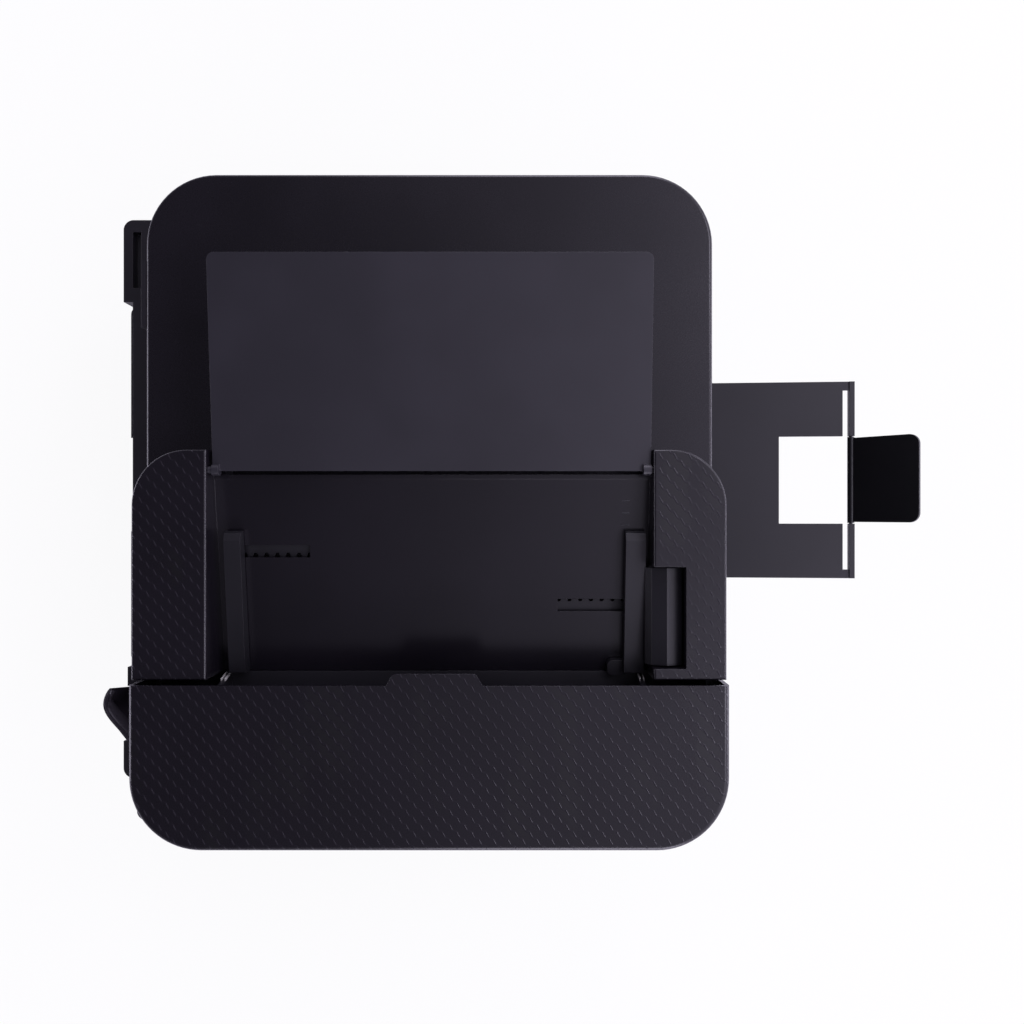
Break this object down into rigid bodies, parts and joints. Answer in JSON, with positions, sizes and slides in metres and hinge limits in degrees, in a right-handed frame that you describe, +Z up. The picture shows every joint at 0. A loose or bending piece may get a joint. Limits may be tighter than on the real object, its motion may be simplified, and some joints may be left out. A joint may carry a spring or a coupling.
{
  "type": "laser multifunction printer",
  "caption": "Desktop monochrome laser printer with flatbed scanner under a hinged lid, sloping document feeder, paper cassette, output shelf with sliding stop and rear door.",
  "frame": {"origin": "centre of the footprint box on the surface the feet stand on", "axes": "+Z up, the front with the output bay faces -Y, +X is the right-hand side seen from the front"},
  "size_m": [0.412, 0.5616, 0.3228],
  "materials": {
    "casing": "fine grain, satin",
    "lid_shell": "plain satin",
    "crosshatch_shell": "moulded crosshatch",
    "inner_plastic": "matt",
    "grey_plastic": "matt",
    "gear_plastic": "smooth",
    "sheet_steel": "zinc plated",
    "bright_steel": "polished",
    "drum_coating": "glossy",
    "roller_rubber": "matt",
    "heat_sleeve": "satin",
    "foot_rubber": "matt",
    "white_plate": "matt",
    "platen_glass": "clear",
    "circuit_board": "varnished",
    "button_plastic": "satin",
    "guard_plastic": "glossy"
  },
  "bodies": {
    "chassis": {"base_pan": "inner_plastic", "feet": "foot_rubber", "left_frame": "sheet_steel", "right_frame": "sheet_steel", "left_cover": "casing", "right_cover": "casing", "bay_frame": "casing", "rear_frame": "casing", "harness_guard": "guard_plastic", "laser_unit": "inner_plastic", "toner_cartridge": "inner_plastic", "fuser_frame": "inner_plastic", "main_motor": "bright_steel", "main_board": "circuit_board", "power_supply": "circuit_board", "scanner_base": "casing", "carriage_rod": "bright_steel", "scanner_top": "casing", "scan_glass": "platen_glass", "hinge_brackets": "sheet_steel", "control_panel": "lid_shell"},
    "front_door": {"front_door": "casing"},
    "paper_cassette": {"paper_cassette": "casing"},
    "lift_plate": {"lift_plate": "sheet_steel"},
    "paper_guide_left": {"paper_guide_left": "grey_plastic"},
    "paper_guide_right": {"paper_guide_right": "grey_plastic"},
    "length_guide": {"length_guide": "grey_plastic"},
    "rear_door": {"rear_door": "casing"},
    "drum": {"drum": "drum_coating"},
    "transfer_roller": {"transfer_roller": "roller_rubber"},
    "pickup_roller": {"pickup_roller": "roller_rubber"},
    "heat_roller": {"heat_roller": "heat_sleeve"},
    "pressure_roller": {"pressure_roller": "roller_rubber"},
    "exit_roller": {"exit_roller": "roller_rubber"},
    "drive_gear": {"drive_gear": "gear_plastic"},
    "idler_gear": {"idler_gear": "gear_plastic"},
    "motor_pinion": {"motor_pinion": "gear_plastic"},
    "output_extension": {"output_extension": "inner_plastic"},
    "paper_stop": {"paper_stop": "inner_plastic"},
    "scan_carriage": {"scan_carriage": "inner_plastic"},
    "power_button": {"power_button": "button_plastic"},
    "stop_button": {"stop_button": "button_plastic"},
    "start_button": {"start_button": "button_plastic"},
    "menu_rocker": {"menu_rocker": "button_plastic"},
    "lid": {"lid_cover": "lid_shell", "lid_underplate": "inner_plastic", "platen_pad": "white_plate", "hinge_arms": "casing", "adf_base": "inner_plastic", "adf_chute": "inner_plastic", "document_tray": "crosshatch_shell", "tray_bottom": "inner_plastic"},
    "adf_cover": {"adf_cover": "crosshatch_shell"},
    "adf_feed_roller": {"adf_feed_roller": "roller_rubber"},
    "adf_exit_roller": {"adf_exit_roller": "roller_rubber"},
    "adf_pick_roller": {"adf_pick_roller": "roller_rubber"},
    "document_flap": {"document_flap": "lid_shell"},
    "front_guide": {"front_guide": "inner_plastic"},
    "rear_guide": {"rear_guide": "inner_plastic"},
    "guide_pinion": {"guide_pinion": "gear_plastic"}
  },
  "joints": [
    {"name": "front_door_hinge", "type": "hinge", "parent": "chassis", "child": "front_door", "pos_m": [0, -0.1207, 0.0795], "axis": [1, 0, 0], "range_deg": [0, 90]},
    {"name": "cassette_slide", "type": "slide", "parent": "chassis", "child": "paper_cassette", "axis": [0, -1, 0], "range_m": [0, 0.32]},
    {"name": "lift_plate_hinge", "type": "hinge", "parent": "paper_cassette", "child": "lift_plate", "pos_m": [0, 0.022, 0.015], "axis": [-1, 0, 0], "range_deg": [0, 20]},
    {"name": "paper_guide_right_slide", "type": "slide", "parent": "paper_cassette", "child": "paper_guide_right", "axis": [-1, 0, 0], "range_m": [0, 0.055]},
    {"name": "paper_guide_left_slide", "type": "slide", "parent": "paper_cassette", "child": "paper_guide_left", "axis": [1, 0, 0], "range_m": [0, 0.055]},
    {"name": "length_guide_slide", "type": "slide", "parent": "paper_cassette", "child": "length_guide", "axis": [0, -1, 0], "range_m": [-0.0176, 0.1]},
    {"name": "rear_door_hinge", "type": "hinge", "parent": "chassis", "child": "rear_door", "pos_m": [0.0128, 0.2724, 0.027], "axis": [-1, 0, 0], "range_deg": [0, 90]},
    {"name": "heat_roller_spin", "type": "hinge", "parent": "chassis", "child": "heat_roller", "pos_m": [0, 0.182, 0.12929], "axis": [1, 0, 0], "continuous": true},
    {"name": "idler_gear_spin", "type": "hinge", "parent": "chassis", "child": "idler_gear", "pos_m": [0, 0.13596, 0.11253], "axis": [1, 0, 0], "continuous": true},
    {"name": "drive_gear_spin", "type": "hinge", "parent": "chassis", "child": "drive_gear", "pos_m": [0, 0.078, 0.097], "axis": [1, 0, 0], "continuous": true},
    {"name": "drum_spin", "type": "hinge", "parent": "chassis", "child": "drum", "pos_m": [0, 0.03, 0.097], "axis": [1, 0, 0], "continuous": true},
    {"name": "transfer_roller_spin", "type": "hinge", "parent": "chassis", "child": "transfer_roller", "pos_m": [0, 0.03, 0.0767], "axis": [1, 0, 0], "continuous": true},
    {"name": "motor_pinion_spin", "type": "hinge", "parent": "chassis", "child": "motor_pinion", "pos_m": [0, 0.09168, 0.13459], "axis": [1, 0, 0], "continuous": true},
    {"name": "pressure_roller_spin", "type": "hinge", "parent": "chassis", "child": "pressure_roller", "pos_m": [0, 0.1895, 0.10479], "axis": [1, 0, 0], "continuous": true},
    {"name": "exit_roller_spin", "type": "hinge", "parent": "chassis", "child": "exit_roller", "pos_m": [0, 0.17424, 0.15827], "axis": [1, 0, 0], "continuous": true},
    {"name": "pickup_roller_spin", "type": "hinge", "parent": "chassis", "child": "pickup_roller", "pos_m": [0, -0.072, 0.071], "axis": [1, 0, 0], "continuous": true},
    {"name": "extension_slide", "type": "slide", "parent": "chassis", "child": "output_extension", "axis": [0, 0.9968, -0.0802], "range_m": [0, 0.115]},
    {"name": "paper_stop_hinge", "type": "hinge", "parent": "output_extension", "child": "paper_stop", "pos_m": [0.017, -0.2472, 0.156], "axis": [-1, 0, 0], "range_deg": [0, 136]},
    {"name": "scan_carriage_slide", "type": "slide", "parent": "chassis", "child": "scan_carriage", "axis": [1, 0, 0], "range_m": [0, 0.31]},
    {"name": "power_button_press", "type": "slide", "parent": "chassis", "child": "power_button", "axis": [0, 0.9681, -0.2504], "range_m": [0, 0.0008], "stiffness_N_per_m": 300},
    {"name": "stop_button_press", "type": "slide", "parent": "chassis", "child": "stop_button", "axis": [0, 0.9681, -0.2504], "range_m": [0, 0.0008], "stiffness_N_per_m": 300},
    {"name": "start_button_press", "type": "slide", "parent": "chassis", "child": "start_button", "axis": [0, 0.9681, -0.2504], "range_m": [0, 0.0008], "stiffness_N_per_m": 300},
    {"name": "menu_rocker_tilt", "type": "hinge", "parent": "chassis", "child": "menu_rocker", "pos_m": [0.062, -0.12527, 0.2197], "axis": [1, 0, 0], "range_deg": [-3, 3], "stiffness_Nm_per_rad": 0.03},
    {"name": "lid_hinge", "type": "hinge", "parent": "chassis", "child": "lid", "pos_m": [0, 0.222, 0.243], "axis": [-1, 0, 0], "range_deg": [0, 70]},
    {"name": "adf_cover_hinge", "type": "hinge", "parent": "lid", "child": "adf_cover", "pos_m": [-0.1904, 0.048, 0.271], "axis": [0, -1, 0], "range_deg": [0, 75]},
    {"name": "document_flap_hinge", "type": "hinge", "parent": "lid", "child": "document_flap", "pos_m": [0.0169, 0.0475, 0.312], "axis": [0, -1, 0], "range_deg": [0, 170]},
    {"name": "front_guide_slide", "type": "slide", "parent": "lid", "child": "front_guide", "axis": [0, 1, 0], "range_m": [0, 0.034]},
    {"name": "rear_guide_slide", "type": "slide", "parent": "lid", "child": "rear_guide", "axis": [0, -1, 0], "range_m": [0, 0.034]},
    {"name": "guide_pinion_spin", "type": "hinge", "parent": "lid", "child": "guide_pinion", "pos_m": [-0.045, 0.0475, 0.29384], "axis": [-0.1587, 0, 0.9873], "range_deg": [-163, 0]},
    {"name": "adf_feed_spin", "type": "hinge", "parent": "lid", "child": "adf_feed_roller", "pos_m": [-0.15, 0.05, 0.286], "axis": [0, 1, 0], "continuous": true},
    {"name": "adf_exit_spin", "type": "hinge", "parent": "lid", "child": "adf_exit_roller", "pos_m": [-0.12392, 0.05, 0.27901], "axis": [0, 1, 0], "continuous": true},
    {"name": "adf_pick_spin", "type": "hinge", "parent": "lid", "child": "adf_pick_roller", "pos_m": [-0.12788, 0.05, 0.30149], "axis": [0, 1, 0], "continuous": true}
  ],
  "couplings": [
    {"joint": "paper_guide_left_slide", "follows": "paper_guide_right_slide", "ratio": 1},
    {"joint": "idler_gear_spin", "follows": "heat_roller_spin", "ratio": -0.63333},
    {"joint": "drive_gear_spin", "follows": "heat_roller_spin", "ratio": 0.63333},
    {"joint": "drum_spin", "follows": "heat_roller_spin", "ratio": -1.0556},
    {"joint": "transfer_roller_spin", "follows": "heat_roller_spin", "ratio": 1.5833},
    {"joint": "motor_pinion_spin", "follows": "heat_roller_spin", "ratio": -1.9},
    {"joint": "pressure_roller_spin", "follows": "heat_roller_spin", "ratio": -1.0569},
    {"joint": "exit_roller_spin", "follows": "heat_roller_spin", "ratio": -1.7273},
    {"joint": "rear_guide_slide", "follows": "front_guide_slide", "ratio": 1},
    {"joint": "guide_pinion_spin", "follows": "front_guide_slide", "rad_per_m": -83.333},
    {"joint": "adf_exit_spin", "follows": "adf_feed_spin", "ratio": -2},
    {"joint": "adf_pick_spin", "follows": "adf_feed_spin", "ratio": -2}
  ]
}
